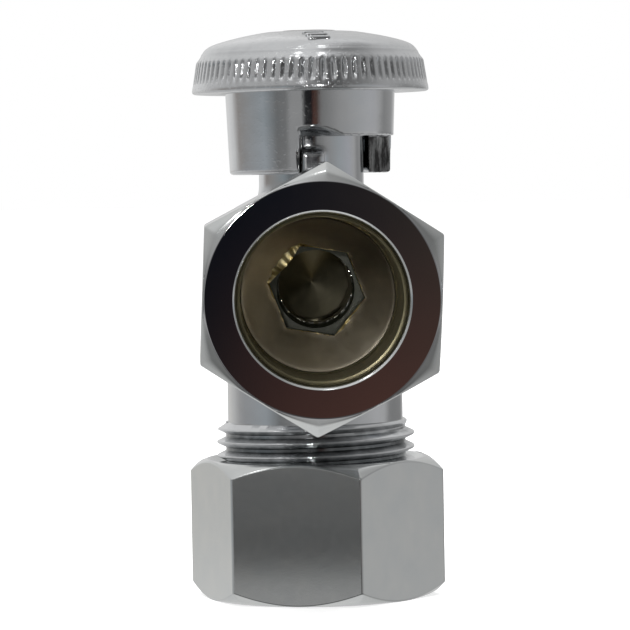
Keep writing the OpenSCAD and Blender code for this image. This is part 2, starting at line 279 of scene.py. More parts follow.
def rod(p, axis, radius, low, high, centre=(0, 0, 0), edge=0.0, draft=0.0):
    """Distance to a capped cylinder along an axis; draft adds to the radius for each unit along it."""
    q = p - np.array(centre)
    others = [n for n in range(3) if n != axis]
    around = np.hypot(q[..., others[0]], q[..., others[1]])
    wide = around - (radius + draft * (q[..., axis] - low)) + edge
    tall = np.abs(q[..., axis] - (low + high) / 2) - (high - low) / 2 + edge
    out = np.hypot(np.maximum(wide, 0), np.maximum(tall, 0))
    return np.minimum(np.maximum(wide, tall), 0) + out - edge


def block(p, low, high, edge):
    """Distance to a box with rounded edges."""
    low, high = np.array(low, float), np.array(high, float)
    q = np.abs(p - (low + high) / 2) - (high - low) / 2 + edge
    return np.minimum(q.max(-1), 0) + np.sqrt((np.maximum(q, 0) ** 2).sum(-1)) - edge


def join(a, b, soft):
    """Distance to two shapes together, with a fillet where they meet."""
    h = np.clip(0.5 + 0.5 * (b - a) / soft, 0, 1)
    return b * (1 - h) + a * h - soft * h * (1 - h)


def cut(a, b, soft):
    """Distance to the first shape less the second, with a rounded edge."""
    return -join(-a, b, soft)


# ---------------------------------------------------------------- materials


def fill_ramp(node, stops):
    """Gives a colour ramp its stops, each a position and a colour or a grey."""
    elements = node.color_ramp.elements
    while len(elements) < len(stops):
        elements.new(0.5)
    for element, (position, colour) in zip(elements, stops):
        element.position = position
        element.color = (*colour, 1) if hasattr(colour, "__len__") else (colour, colour, colour, 1)


class Nodes:
    """A node tree, with short ways to add to it."""

    def __init__(self, tree):
        self.tree = tree

    def add(self, kind, inputs=None, **settings):
        node = self.tree.nodes.new(kind)
        for key, value in settings.items():
            setattr(node, key, value)
        for key, value in (inputs or {}).items():
            if isinstance(value, bpy.types.NodeSocket):
                self.tree.links.new(value, node.inputs[key])
            else:
                node.inputs[key].default_value = value
        return node

    def noise(self, place, scale, detail=3.0, rough=0.55):
        inputs = {"Vector": place, "Scale": scale, "Detail": detail, "Roughness": rough}
        return self.add("ShaderNodeTexNoise", inputs).outputs["Fac"]

    def vector(self, operation, a, b=(0, 0, 0)):
        return self.add("ShaderNodeVectorMath", {0: a, 1: b}, operation=operation).outputs

    def math(self, operation, a, b=0.0):
        return self.add("ShaderNodeMath", {0: a, 1: b}, operation=operation).outputs[0]

    def mix(self, share, first, second):
        return self.add("ShaderNodeMix", {0: share, 6: first, 7: second}, data_type="RGBA").outputs[2]

    def spread(self, value, low, high):
        """A value from 0 at low to 1 at high."""
        inputs = {"Value": value, "From Min": low, "From Max": high}
        return self.add("ShaderNodeMapRange", inputs).outputs[0]

    def ramp(self, value, *stops):
        node = self.add("ShaderNodeValToRGB", {"Fac": value})
        fill_ramp(node, stops)
        return node.outputs["Color"]


class Surface(Nodes):
    """A material and its node tree."""

    def __init__(self, name):
        self.material = bpy.data.materials.new(name)
        self.material.use_nodes = True
        super().__init__(self.material.node_tree)
        self.shader = self.tree.nodes["Principled BSDF"]

    def set(self, **values):
        for key, value in values.items():
            self.shader.inputs[key.replace("_", " ")].default_value = value

    def link(self, socket, name):
        self.tree.links.new(socket, self.shader.inputs[name])

    def place(self, scale=1000.0, centre=(0, 0, 0)):
        """Position on the piece from a centre, in millimetres by default."""
        source = self.add("ShaderNodeTexCoord").outputs["Object"]
        start = tuple(-c for c in centre)
        return self.add("ShaderNodeMapping",
                        {"Vector": source, "Scale": (scale,) * 3, "Location": start}).outputs["Vector"]

    def bump(self, height, strength, distance, under=None):
        inputs = {"Height": height, "Strength": strength, "Distance": distance * MM}
        if under is not None:
            inputs["Normal"] = under
        return self.add("ShaderNodeBump", inputs).outputs["Normal"]


def plated(name, dark, light, smooth, rough, grain, pits=0.0, ripple=0.0):
    """Plate: colour and roughness drift a little, over fine grain, pits and a slow ripple."""
    m = Surface(name)
    m.set(Metallic=1.0)
    at = m.place()
    drift = m.noise(at, 0.35, 4)
    m.link(m.ramp(drift, (0.3, dark), (0.7, light)), "Base Color")
    m.link(m.ramp(m.noise(at, 1.3, 5), (0.35, smooth), (0.7, rough)), "Roughness")
    normal = m.bump(m.noise(at, 6.0, 4, 0.6), grain, 0.02)
    if pits:
        spots = m.ramp(m.noise(at, 3.1, 2, 0.4), (0.60, 0.0), (0.68, 1.0))
        normal = m.bump(spots, pits, 0.05, normal)
    if ripple:
        normal = m.bump(m.noise(at, 0.22, 2, 0.4), ripple, 0.6, normal)
    m.link(normal, "Normal")
    return m.material


def lathed(name, dark, light, smooth, rough, axis="Y", pitch=0.30, strength=0.15, centre=(0, 0, 0),
           turned_look=0.8, painted_light=None, mottle=0.4):
    """A machined metal face with fine rings about an axis, which stretch its highlights across them.
    With painted_light, a direction, the face is painted lighter on that side and darker on the other:
    painted light and shade."""
    m = Surface(name)
    m.set(Metallic=1.0, Anisotropic=turned_look, Anisotropic_Rotation=0.25)
    at = m.place(centre=centre)
    colour, stops = m.noise(at, mottle, 4), (0.3, 0.7)
    # Painted light and shade: the colour runs from dark to light towards the given direction
    if painted_light:
        side = m.spread(m.vector("DOT_PRODUCT", at, painted_light)["Value"], -6.5, 6.5)
        colour, stops = m.add("ShaderNodeMix", {0: 0.15, 2: side, 3: colour}).outputs[0], (0.12, 0.88)
    m.link(m.ramp(colour, (stops[0], dark), (stops[1], light)), "Base Color")
    m.link(m.ramp(m.noise(at, 1.1, 4), (0.3, smooth), (0.75, rough)), "Roughness")
    inputs = {"Vector": at, "Scale": 1 / pitch, "Distortion": 0.4, "Detail": 2.0, "Detail Scale": 0.6}
    rings = m.add("ShaderNodeTexWave", inputs, wave_type="RINGS", rings_direction=axis).outputs["Fac"]
    normal = m.bump(rings, strength, 0.015)
    m.link(m.bump(m.noise(at, 5.0, 3), 0.15, 0.02, normal), "Normal")
    about = (0, int(axis == "Y"), int(axis == "Z"))
    along = m.vector("NORMALIZE", m.vector("CROSS_PRODUCT", about, at)["Vector"])["Vector"]
    tangent = m.add("ShaderNodeVectorTransform", {"Vector": along}, vector_type="VECTOR",
                    convert_from="OBJECT", convert_to="WORLD").outputs["Vector"]
    m.link(tangent, "Tangent")
    return m.material


def threaded(name, dark, light):
    """Plated thread about Z: the roots are painted dark, which is painted shade, and the crests are bright.
    """
    m = Surface(name)
    m.set(Metallic=1.0)
    at = m.place()
    radius = m.vector("LENGTH", m.vector("MULTIPLY", at, (1, 1, 0))["Vector"])["Value"]
    height = m.add("ShaderNodeSeparateXYZ", {0: at}).outputs["Z"]
    # Painted shade in the roots: the colour is dark there and light on the crests and past the thread
    crest = m.spread(radius, ROOT - 0.05, CREST - 0.25)
    past_thread = m.spread(height, THREAD_TOP - 1.5, THREAD_TOP - 0.6)
    painted_light = m.math("ADD", m.math("MAXIMUM", crest, past_thread), m.noise(at, 0.9, 4))
    m.link(m.ramp(m.math("MULTIPLY", painted_light, 0.65), (0.36, dark), (0.95, light)), "Base Color")
    m.link(m.ramp(m.noise(at, 1.5, 4), (0.3, 0.10), (0.7, 0.20)), "Roughness")
    m.link(m.bump(m.noise(at, 5.0, 4), 0.15, 0.03), "Normal")
    return m.material


def streaked(name, dark, light):
    """A plated face with a rough bump, painted dark in streaks up and down it: painted shade."""
    m = Surface(name)
    m.set(Metallic=1.0)
    long = m.add("ShaderNodeMapping", {"Vector": m.place(), "Scale": (1.0, 1.0, 0.16)}).outputs["Vector"]
    streaks = m.noise(long, 1.6, 4, 0.6)
    m.link(m.ramp(streaks, (0.42, dark), (0.60, light)), "Base Color")
    m.link(m.ramp(streaks, (0.3, 0.30), (0.7, 0.12)), "Roughness")
    m.link(m.bump(streaks, 0.5, 0.15), "Normal")
    return m.material


def moulded(name, dark, light, rough, grain, sheen=0.0):
    """A moulded or turned plastic or rubber part."""
    m = Surface(name)
    m.set(Metallic=0.0, Sheen_Weight=sheen)
    at = m.place()
    m.link(m.ramp(m.noise(at, 0.8, 4), (0.3, dark), (0.7, light)), "Base Color")
    m.link(m.ramp(m.noise(at, 2.2, 4), (0.3, rough * 0.8), (0.7, rough)), "Roughness")
    m.link(m.bump(m.noise(at, 7.0, 4), grain, 0.03), "Normal")
    return m.material


OUTLET_AXIS = (0, 0, OUTLET_Z)
CHROME = plated("chrome_polished", (0.63, 0.64, 0.65), (0.67, 0.68, 0.69), smooth=0.09, rough=0.14,
                grain=0.05, ripple=0.05)
CHROME_NUT = plated("chrome_satin", (0.62, 0.64, 0.64), (0.66, 0.67, 0.66), smooth=0.12, rough=0.145,
                    grain=0.08)
CHROME_FACE = plated("chrome_faced", (0.63, 0.64, 0.65), (0.66, 0.66, 0.67), smooth=0.02, rough=0.04,
                     grain=0.02)
CHROME_CAST = plated("chrome_cast", (0.62, 0.63, 0.64), (0.68, 0.69, 0.70), smooth=0.12, rough=0.22,
                     grain=0.25, pits=0.30, ripple=0.10)
CHROME_SKIRT = plated("chrome_skirt", (0.64, 0.65, 0.66), (0.67, 0.68, 0.69), smooth=0.05, rough=0.09,
                      grain=0.06, pits=0.04, ripple=0.08)
CHROME_BALL = plated("chrome_ball", (0.50, 0.50, 0.47), (0.60, 0.60, 0.57), smooth=0.05, rough=0.09,
                     grain=0.04)
STEEL = plated("zinc_steel", (0.42, 0.42, 0.41), (0.55, 0.55, 0.53), smooth=0.25, rough=0.40, grain=0.30)
CHROME_THREAD = threaded("chrome_thread", (0.17, 0.18, 0.185), (0.64, 0.65, 0.66))
# The ends of the handle's window: painted shade in dark streaks
CHROME_CUT = streaked("chrome_cut_face", (0.08, 0.08, 0.08), (0.56, 0.57, 0.57))
BRASS = lathed("brass_turned", (0.55, 0.41, 0.18), (0.68, 0.52, 0.25), smooth=0.20, rough=0.32,
               axis="Z", pitch=0.25, strength=0.20)
# A dark copy of the turned brass for the outlet's bore, sleeve and nut thread: painted shade, as they sit
# deep in the outlet
BRASS_BORE = lathed("brass_bore", (0.25, 0.225, 0.135), (0.34, 0.31, 0.20), smooth=0.30, rough=0.42,
                    centre=OUTLET_AXIS)
BRASS_BORE_Z = lathed("brass_bore_inlet", (0.44, 0.40, 0.27), (0.54, 0.49, 0.34), smooth=0.30, rough=0.42,
                      axis="Z")
# The ball's waterway is brass painted very dark: painted shade, deep inside the ball
BRASS_PORT = lathed("brass_port", (0.17, 0.155, 0.105), (0.23, 0.21, 0.145), smooth=0.34, rough=0.42,
                    pitch=0.22, strength=0.25, centre=(0, 0, PORT_RISE))
# The retainer's cone is painted light towards the lower left and dark towards the upper right: painted
# light and shade
BRASS_CONE = lathed("brass_cone", (0.14, 0.12, 0.09), (0.82, 0.73, 0.57), smooth=0.28, rough=0.38,
                    pitch=0.20, strength=0.55, centre=OUTLET_AXIS, painted_light=(-0.38, 0, -0.92))
BRASS_SOCKET = lathed("brass_socket", (0.34, 0.35, 0.26), (0.44, 0.44, 0.33), smooth=0.30, rough=0.42,
                      strength=0.1, centre=OUTLET_AXIS, turned_look=0.0)
BRASS_EDGE = lathed("brass_worn_edge", (0.50, 0.36, 0.12), (1.0, 0.88, 0.52), smooth=0.22, rough=0.46,
                    strength=0.35, centre=OUTLET_AXIS, turned_look=0.2, mottle=1.1)
# The white PTFE seats are painted near black: painted shade, for the outlet seat deep in the bore
SEAT = moulded("ptfe_seat_painted_shade", (0.065, 0.070, 0.042), (0.095, 0.10, 0.062), rough=0.45, grain=0.10)
ACETAL = moulded("acetal_washer", (0.70, 0.70, 0.66), (0.80, 0.80, 0.77), rough=0.40, grain=0.10)
RUBBER = moulded("nitrile_rubber", (0.012, 0.012, 0.013), (0.030, 0.030, 0.032), rough=0.55, grain=0.12,
                 sheen=0.1)

# ---------------------------------------------------------------- valve body


def body_distance(p):
    """The forging between its two threaded ends, with its bores."""
    on_outlet = (0, 0, OUTLET_Z)
    chamber, boss, rear_cap, rear = 10.1, 9.3, 8.0, 10.95
    lug_low, lug_high = (-1.3, -8.15, 38), (1.15, -4, 46.3)
    d = rod(p, 2, BARREL, THREAD_TOP - 0.6, OUTLET_Z + 6.5, edge=0.05)
    d = join(d, np.linalg.norm(p - np.array(on_outlet), axis=-1) - chamber, 1.6)
    d = join(d, rod(p, 1, boss, -BOSS_END - 0.2, 0, on_outlet, 0.05), 1.6)
    d = join(d, rod(p, 1, rear_cap, 0, rear, on_outlet, 1.2), 1.4)
    d = join(d, rod(p, 2, NECK, OUTLET_Z + 5, NECK_TOP, edge=0.25), 2.2)
    d = join(d, block(p, lug_low, lug_high, 0.5), 0.4)
    d = cut(d, rod(p, 1, CAVITY, -BOSS_END - 2, CAVITY_BACK, on_outlet), 0.15)
    d = cut(d, rod(p, 2, FLANGE_BORE, OUTLET_Z, FLANGE_TOP), 0.1)
    d = cut(d, rod(p, 2, STEM_BORE, OUTLET_Z, NECK_TOP + 2), 0.2)
    d = cut(d, rod(p, 2, WATERWAY, 15, OUTLET_Z), 0.15)
    return cut(d, rod(p, 2, TUBE, 10, TUBE_STOP), 0.15)


def body_bored(centre):
    """Which faces of the forging, by their middles, are inside its bores."""
    across = np.hypot(centre[:, 0], centre[:, 2] - OUTLET_Z)
    around = np.hypot(centre[:, 0], centre[:, 1])
    below_flange = centre[:, 2] < FLANGE_TOP + 0.1
    bored = (across < CAVITY + 0.05) & (centre[:, 1] < CAVITY_BACK + 0.1) & below_flange
    bored |= (around < STEM_BORE + 0.1) | ((around < TUBE + 0.05) & (centre[:, 2] < OUTLET_Z))
    return bored | ((around < WATERWAY) & below_flange)


def port(low, high, inside):
    """A male compression end with its mouth at height low: the thread outside, and the bore inside."""
    end = BARREL + 0.02
    return thread(low, high, end), turned([(MOUTH, low)] + inside + [(end, high)], closed=False)


def valve_body():
    found, faces = skin(body_distance, (-11, -10.5, THREAD_TOP - 1), (11, 11.5, NECK_TOP + 0.4), 0.3)
    bored = body_bored(found[np.array(faces)].mean(1))
    mouth = [(TUBE + 1.25, 0), (TUBE + 1.2, 0.1), (TUBE + 0.02, 1.87), (TUBE, 1.95)]

    inlet = [(r, z + PORT_END) for r, z in mouth] + [(TUBE, THREAD_TOP)]
    inlet_thread, inlet_bore = port(PORT_END, THREAD_TOP, inlet)

    # The outlet's heights are depths in from its mouth
    depth = OUTLET_END - RETAINER_OUT
    seat_shoulder = 10.3
    outlet = mouth + [(TUBE, depth - 0.24), (TUBE - 0.02, depth - 0.2), (THREAD_BORE, depth - 0.03),
                      (THREAD_BORE, OUTLET_END - seat_shoulder - 0.1), (CAVITY, OUTLET_END - seat_shoulder),
                      (CAVITY, OUTLET_END - BOSS_END)]
    outlet_thread, outlet_bore = port(0, OUTLET_END - BOSS_END, outlet)

    def inward(points):
        return to_outlet(points * [1, -1, -1], OUTLET_END)

    shells = [(found, faces, bored.astype(int)), (*inlet_thread, 3), (*inlet_bore, 1),
              (inward(outlet_thread[0]), outlet_thread[1], 0), (inward(outlet_bore[0]), outlet_bore[1], 2)]
    make("valve_body_forging", shells, [CHROME, BRASS_BORE_Z, BRASS_BORE, CHROME_THREAD],
         "valve", "valve_body", 40)


# ---------------------------------------------------------------- compression nuts and sleeves


def hexagon(columns_per_side, flats, edge, turn=0.0):
    """Angles and radii round a hexagon with rounded corners, with extra columns at each corner."""
    apothem = flats / 2
    reach = (apothem - edge) / math.cos(math.radians(30))
    zone = math.asin(min(1, edge / (reach + edge) * 1.3)) * 0.55
    corner = np.linspace(-zone, zone, 9)[:-1]
    side = np.linspace(zone, math.pi / 3 - zone, columns_per_side)[:-1]
    angle = np.concatenate([k * math.pi / 3 + np.concatenate([corner, side]) for k in range(6)])
    local = (angle + math.pi / 6) % (math.pi / 3) - math.pi / 6
    flat = apothem / np.cos(math.pi / 6 - np.abs(local))
    inside = np.maximum(edge ** 2 - (reach * np.sin(local)) ** 2, 0)
    arc = reach * np.cos(local) + np.sqrt(inside)
    radius = np.where(reach * np.abs(np.sin(local)) <= edge * 0.5, np.minimum(flat, arc), flat)
    return angle + turn, radius


def nut():
    """A hexagon nut with chamfers that cut curves in its flats, outer face at height 0."""
    angle, hexed = hexagon(26, NUT_FLATS, 0.35)
    one = np.ones_like(angle)
    slope = math.tan(math.radians(36))
    soft = 0.10
    cone = np.maximum((hexed - NUT_FACE) * slope, 0.05)
    hole, lip = TUBE + 0.25, 0.45
    countersink, crest, depth = 11.15, 10.42, 0.40
    thread_end, bore_start = 4.8, 2.6
    satin, faced, bare = 0, 1, 2
    rows, marks = [], []

    def put(radius, height, mark):
        rows.append(np.stack([radius * one, height * one], -1))
        marks.append(mark)

    # From the outer face over the chamfer, which swells a little, to the flats
    edge = [(NUT_FACE - 0.16, 0.0, faced), (NUT_FACE - 0.10, 0.0, faced), (NUT_FACE - 0.02, 0.025, faced),
            (NUT_FACE + 0.07, 0.09, satin)]
    inner, outer = NUT_FACE + 0.07, hexed - soft * 1.2
    for share in (0.3, 0.55, 0.8):
        swell = 0.09 + (cone - soft * 0.9 - 0.09) * share ** 1.7
        edge.append((inner + (outer - inner) * share, swell, satin))
    edge += [(outer, cone - soft * 0.9, satin), (hexed - soft * 0.35, cone - soft * 0.1, satin),
             (hexed, cone + soft * 0.8, satin), (hexed, cone + soft * 1.4, satin)]
    for radius, height, mark in edge:
        put(radius, height, mark)
    for share in (0.1, 0.3, 0.5, 0.7, 0.9):
        put(hexed, NUT_H * share * one + (1 - 2 * share) * cone, satin)
    # The same edge at the inner face
    for radius, height, mark in reversed(edge[1:]):
        put(radius, NUT_H - height, mark)
    put(countersink, NUT_H, satin)
    put(countersink - 0.15, NUT_H - 0.08, satin)
    put(crest + 0.03, NUT_H - 0.60, satin)
    # The female thread, as rings; the plating reaches into its first turns
    for half in range(12):
        put(crest + depth * (half % 2), NUT_H - 0.9 - half * PITCH / 2, bare if half > 2 else satin)
    put(crest, thread_end, bare)
    put(hole, bore_start, bare)
    put(hole, lip + 0.08, bare)
    put(hole + 0.04, lip - 0.03, satin)
    put(hole + lip - 0.05, 0.05, satin)
    put(hole + lip + 0.02, 0.0, faced)
    put(hole + lip + 0.08, 0.0, faced)
    grid = np.stack(rows)
    points = np.stack([grid[..., 0] * np.cos(angle), grid[..., 0] * np.sin(angle), grid[..., 1]], -1)
    return points, net(len(rows), len(angle), close_rows=True), np.repeat(marks, len(angle))


def nuts():
    quarter = math.pi / 2
    points, faces, marks = nut()
    make("inlet_compression_nut", [(spun(points, INLET_NUT_TURN - quarter), faces, marks)],
         [CHROME_NUT, CHROME_FACE, BRASS], "inlet_nut", "inlet_nut", 30)
    placed = to_outlet(spun(points * [1, -1, -1], OUTLET_NUT_TURN - quarter), REACH)
    make("outlet_compression_nut", [(placed, faces, marks)],
         [CHROME_NUT, CHROME_FACE, BRASS_BORE], "outlet_nut", "outlet_nut", 30)


def sleeves():
    low, high = (corner[2] for corner in cad("inlet_ferrule"))
    outside, nose, tail = TUBE + 1.25, 0.95, 1.7
    outline = [(TUBE, low), (TUBE + 0.3, low), (outside, low + nose), (outside, high - tail),
               (TUBE + 0.1, high), (TUBE, high)]
    points, faces = turned(rounded(outline, [0.1, 0.1, 0.3, 0.3, 0.03, 0.03]), closed=True)
    make("inlet_sleeve", [(points, faces, 0)], [BRASS], "inlet_sleeve", "inlet_ferrule")
    placed = to_outlet(points * [1, 1, -1], REACH)
    make("outlet_sleeve", [(placed, faces, 0)], [BRASS_BORE], "outlet_sleeve", "outlet_ferrule")


# ---------------------------------------------------------------- seat retainer


def around_angle(angle, degrees):
    """1 in a direction, falling to 0 at a right angle from it."""
    return np.clip(np.cos(angle - math.radians(degrees)), 0, 1)


def worn_edge(angle):
    """How wide the burred edge of the key socket is, and how far its burr leans over the socket."""
    worn = 0.06 + 0.62 * around_angle(angle, 138) ** 7
    worn = worn + 0.20 * around_angle(angle, -48) ** 12
    worn = worn * (1 + 0.12 * np.sin(31 * angle)) + 0.10 * np.sin(17 * angle) * np.sin(5 * angle + 1)
    return np.clip(worn, 0.05, 0.7)[:, None], 0.32 * around_angle(angle, 136)[:, None] ** 9


def seat_retainer():
    """The threaded ring down the outlet: a turned cone that the hexagon key socket breaks into."""
    angle, key = hexagon(20, KEY, 0.2, KEY_TURN)
    way = np.stack([np.cos(angle), np.sin(angle)], -1)
    socket = key[:, None] * way + [0, KEY_RISE]
    worn, burr = worn_edge(angle)
    body, outer, groove = CAVITY - 0.05, THREAD_BORE - 0.05, 6.43
    groove_low, groove_high = 8.2 - RETAINER_BACK, 9.4 - RETAINER_BACK
    top = RETAINER_OUT - RETAINER_BACK
    cone_r, cone_depth = outer - 0.07, 2.9
    slope = cone_depth / (cone_r - KEY / 2 / math.cos(math.radians(30)))
    turned_face, socket_wall, bare = 0, 1, 2
    rows, marks = [], []

    def put(flat, height, mark=turned_face):
        rows.append(np.column_stack([flat, np.broadcast_to(height, len(angle))]))
        marks.append(mark)

    def cone_height(flat):
        return top - (cone_r - np.linalg.norm(flat, axis=-1)) * slope

    for radius, height in ((body - 0.15, 0), (body, 0.15), (body, groove_low), (groove, groove_low),
                           (groove, groove_high), (body, groove_high), (body, 3.1), (outer, 3.2),
                           (outer, top - 0.06), (outer - 0.04, top)):
        put(radius * way, height)
    rim, edge = cone_r * way, socket + worn * way
    put(rim, top - 0.01)
    for share in (0.1, 0.25, 0.4, 0.55, 0.7, 0.85, 1.0):
        flat = rim + (edge - rim) * share
        put(flat, cone_height(flat))
    worn_height = cone_height(edge)
    lip = socket + (0.03 - burr) * way
    put(edge - 0.02 * way, worn_height - 0.01, bare)
    put((edge + lip) / 2, worn_height + 0.05 * worn[:, 0], bare)
    put(lip, worn_height + 0.10 * worn[:, 0], bare)
    put(socket, worn_height - 0.1, socket_wall)
    put(socket, 0.15, socket_wall)
    put(socket + 0.1 * way, 0, socket_wall)
    faces = net(len(rows), len(angle), close_rows=True)
    placed = to_outlet(np.stack(rows), RETAINER_BACK)
    make("seat_retainer_ring", [(placed, faces, np.repeat(marks, len(angle)))],
         [BRASS_CONE, BRASS_SOCKET, BRASS_EDGE], "valve", "seat_retainer", 35)


# ---------------------------------------------------------------- handle


def oval(width, length, end, count):
    """Evenly spaced points and outward normals round an oval with round ends, counter-clockwise from +X."""
    a, b = width / 2, length / 2
    c = b - end
    side = (a * a + c * c - end * end) / (2 * (a - end))
    limit = math.atan2(c, side - a)
    fine = np.linspace(0, 2 * math.pi, 7200, endpoint=False)
    near = np.minimum(fine % math.pi, math.pi - fine % math.pi)
    sx = np.sign(np.cos(fine))
    sy = np.where(fine < math.pi, 1, -1)
    x = np.where(near < limit, side * np.cos(near) - (side - a), end * np.cos(near)) * sx
    y = np.where(near < limit, side * np.sin(near), c + end * np.sin(near)) * sy
    x, y = np.append(x, x[0]), np.append(y, y[0])
    run = np.concatenate([[0], np.cumsum(np.hypot(np.diff(x), np.diff(y)))])
    wanted = np.arange(count) * run[-1] / count
    line = np.stack([np.interp(wanted, run, x), np.interp(wanted, run, y)], -1)
    along = np.roll(line, -1, 0) - np.roll(line, 1, 0)
    out = np.stack([along[:, 1], -along[:, 0]], -1)
    return line, out / np.linalg.norm(out, axis=1)[:, None]


def dome_height(inset):
    """Height of the dome at a distance in from the handle's widest line, with its edge rounded."""
    across = HANDLE_W / 2 - inset
    drop, edge, fall = 0.6, 1.1, 0.4
    return DOME_Z - across ** 2 / (2 * DOME_R) - drop * np.exp((edge - inset) / fall)


def dome_blend(inset):
    """How far a line of the dome has gone from the oval's parallel (0) to the oval drawn smaller (1)."""
    start, width = 1.6, 5.0
    share = np.clip((inset - start) / width, 0, 1)
    return share * share * (3 - 2 * share)


def shell_of_handle():
    """Dome, ribbed band, lip and hollow underside of the handle, as one closed surface."""
    per_rib, rib_depth = 10, 0.26
    line, out = oval(HANDLE_W, HANDLE_L, HANDLE_END, RIBS * per_rib)
    count = len(line)
    phase = (np.arange(count) % per_rib) / per_rib
    groove = np.clip(np.abs(2 * phase - 1) * 2.6 - 1.3, 0, 1)
    # The cast ribs are not all alike
    rib = np.arange(count) // per_rib
    groove = groove * (1 + 0.35 * np.sin(rib * 2.39) * np.sin(rib * 1.31 + 0.6))
    angle = np.arctan2(line[:, 1], line[:, 0])
    circle = np.stack([np.cos(angle), np.sin(angle)], -1)
    half = HANDLE_W / 2
    rows = []

    def put(inset, z, ribs=0.0):
        spread = dome_blend(inset)
        offset = line - (inset + ribs * groove)[:, None] * out
        scaled = line * (1 - inset / half)
        flat = offset * (1 - spread) + scaled * spread
        rows.append(np.column_stack([flat, np.full(count, z)]))

    def put_round(radius, z):
        rows.append(np.column_stack([circle * radius, np.full(count, z)]))

    inner, hollow_top, recess_floor = 2.7, 56.2, 56.3
    recess, recess_rim, hub, hub_floor = 3.7, 4.35, 2.15, 54.6
    for inset, z in ((inner, RIM_Z + 0.15), (inner - 0.15, RIM_Z), (0.22, RIM_Z), (0.06, RIM_Z + 0.08),
                     (0.0, RIM_Z + 0.25), (0.05, RIM_Z + 0.6), (0.12, RIM_Z + 0.9)):
        put(inset, z)
    band_low, band_high = RIM_Z + 1.05, RIM_Z + 3.2
    for share in (0.0, 0.08, 0.18, 0.35, 0.55, 0.75, 0.9, 1.0):
        depth = rib_depth * min(1, 6 * share + 0.1, 5 * (1 - share) + 0.4)
        put(0.14 + 0.34 * share, band_low + (band_high - band_low) * share, depth)
    for inset, z in ((0.56, 55.65), (0.74, 55.87), (0.92, 56.12), (1.01, 56.3), (1.06, 56.45)):
        put(inset, z)
    for inset in (1.13, 1.22, 1.35, 1.52, 1.75, 2.05, 2.5, 3.1, 3.9, 4.9, 6.0, 7.1):
        put(inset, dome_height(inset))
    crown = dome_height(half - recess_rim)
    for radius, z in ((recess_rim, crown), (recess_rim - 0.4, crown + 0.02), (recess + 0.1, crown - 0.03),
                      (recess, crown - 0.15), (recess, recess_floor + 0.1), (recess - 0.15, recess_floor),
                      (hub + 0.15, recess_floor), (hub, recess_floor - 0.2), (hub, hub_floor),
                      (5.0, hub_floor), (8.0, hub_floor), (8.3, hollow_top)):
        put_round(radius, z)
    put(inner + 0.5, hollow_top)
    put(inner + 0.15, hollow_top - 0.3)
    points = spun(np.stack(rows), HANDLE_TURN)
    return points, net(len(rows), count, close_rows=True), 0


def skirt_distance(p):
    """The round skirt under the dome, with its bore and its quarter-turn window."""
    top, above_neck, recess_top = 56.0, 0.65, 55.1
    d = rod(p, 2, SKIRT, SKIRT_Z, top, edge=0.35, draft=0.042)
    d = cut(d, rod(p, 2, SKIRT_BORE, SKIRT_Z - 2, NECK_TOP + above_neck), 0.12)
    low, high = math.radians(-90 - WINDOW_PLAY), math.radians(WINDOW_PLAY)
    side_low = p[..., 0] * math.sin(low) - p[..., 1] * math.cos(low)
    side_high = -p[..., 0] * math.sin(high) + p[..., 1] * math.cos(high)
    window = np.maximum(np.maximum(side_low, side_high), p[..., 2] - WINDOW_Z)
    d = cut(d, np.maximum(window, SKIRT_BORE - 0.5 - np.hypot(p[..., 0], p[..., 1])), 0.15)
    # A flat bevel over the window's front edge; it runs out to the right as the round wall falls away
    steep, bevel_start, bevel_height = math.radians(35), -8.0, 1.4
    bevel = (p[..., 1] - bevel_start) * math.cos(steep) + (p[..., 2] - WINDOW_Z) * math.sin(steep)
    bevel = np.maximum(np.maximum(bevel, side_low), p[..., 2] - WINDOW_Z - bevel_height)
    d = cut(d, bevel, 0.08)
    return cut(d, rod(p, 2, STEM_BORE, 49, recess_top), 0.1)


def mark_bars():
    """Plain raised bars on the front slope of the dome."""
    places = [-15.0, -13.0, -10.6]
    left, right, half_wide, raised = -2.2, 0.1, 0.42, 0.2
    inset = np.linspace(9, 1, 80)
    blend = dome_blend(inset)
    front = (1 - blend) * (inset - HANDLE_L / 2) + blend * HANDLE_L * (inset / HANDLE_W - 0.5)

    def distance(p):
        bars = []
        for y in places:
            z = dome_height(np.interp(-y, -front, inset))
            bars.append(block(p, (left, y - half_wide, z - 1.0), (right, y + half_wide, z + raised), 0.25))
        return np.minimum.reduce(bars)

    low, high = (left - 0.4, places[0] - 1, 56), (right + 0.4, places[-1] + 1, 59.2)
    found, faces = skin(distance, low, high, 0.14)
    return spun(found, HANDLE_TURN), faces, 0


def handle():
    skirt, skirt_faces = skin(skirt_distance, (-9.2, -9.2, SKIRT_Z), (9.2, 9.2, 56.1), 0.2)
    middle = skirt[np.array(skirt_faces)].mean(1)
    around = np.degrees(np.arctan2(middle[:, 1], middle[:, 0]))
    radius = np.hypot(middle[:, 0], middle[:, 1])
    in_wall = (radius > SKIRT_BORE + 0.1) & (radius < SKIRT) & (middle[:, 2] < WINDOW_Z - 0.1)
    # The faces at the window's two ends, by the angle from its middle
    from_middle = np.abs(around + 45)
    ends = in_wall & (np.abs(from_middle - 45 - WINDOW_PLAY) < 0.8)
    shells = [shell_of_handle(), (skirt, skirt_faces, np.where(ends, 2, 1)), mark_bars()]
    make("oval_handle", shells, [CHROME_CAST, CHROME_SKIRT, CHROME_CUT],
         "handle", "handle", 45)


# ---------------------------------------------------------------- ball


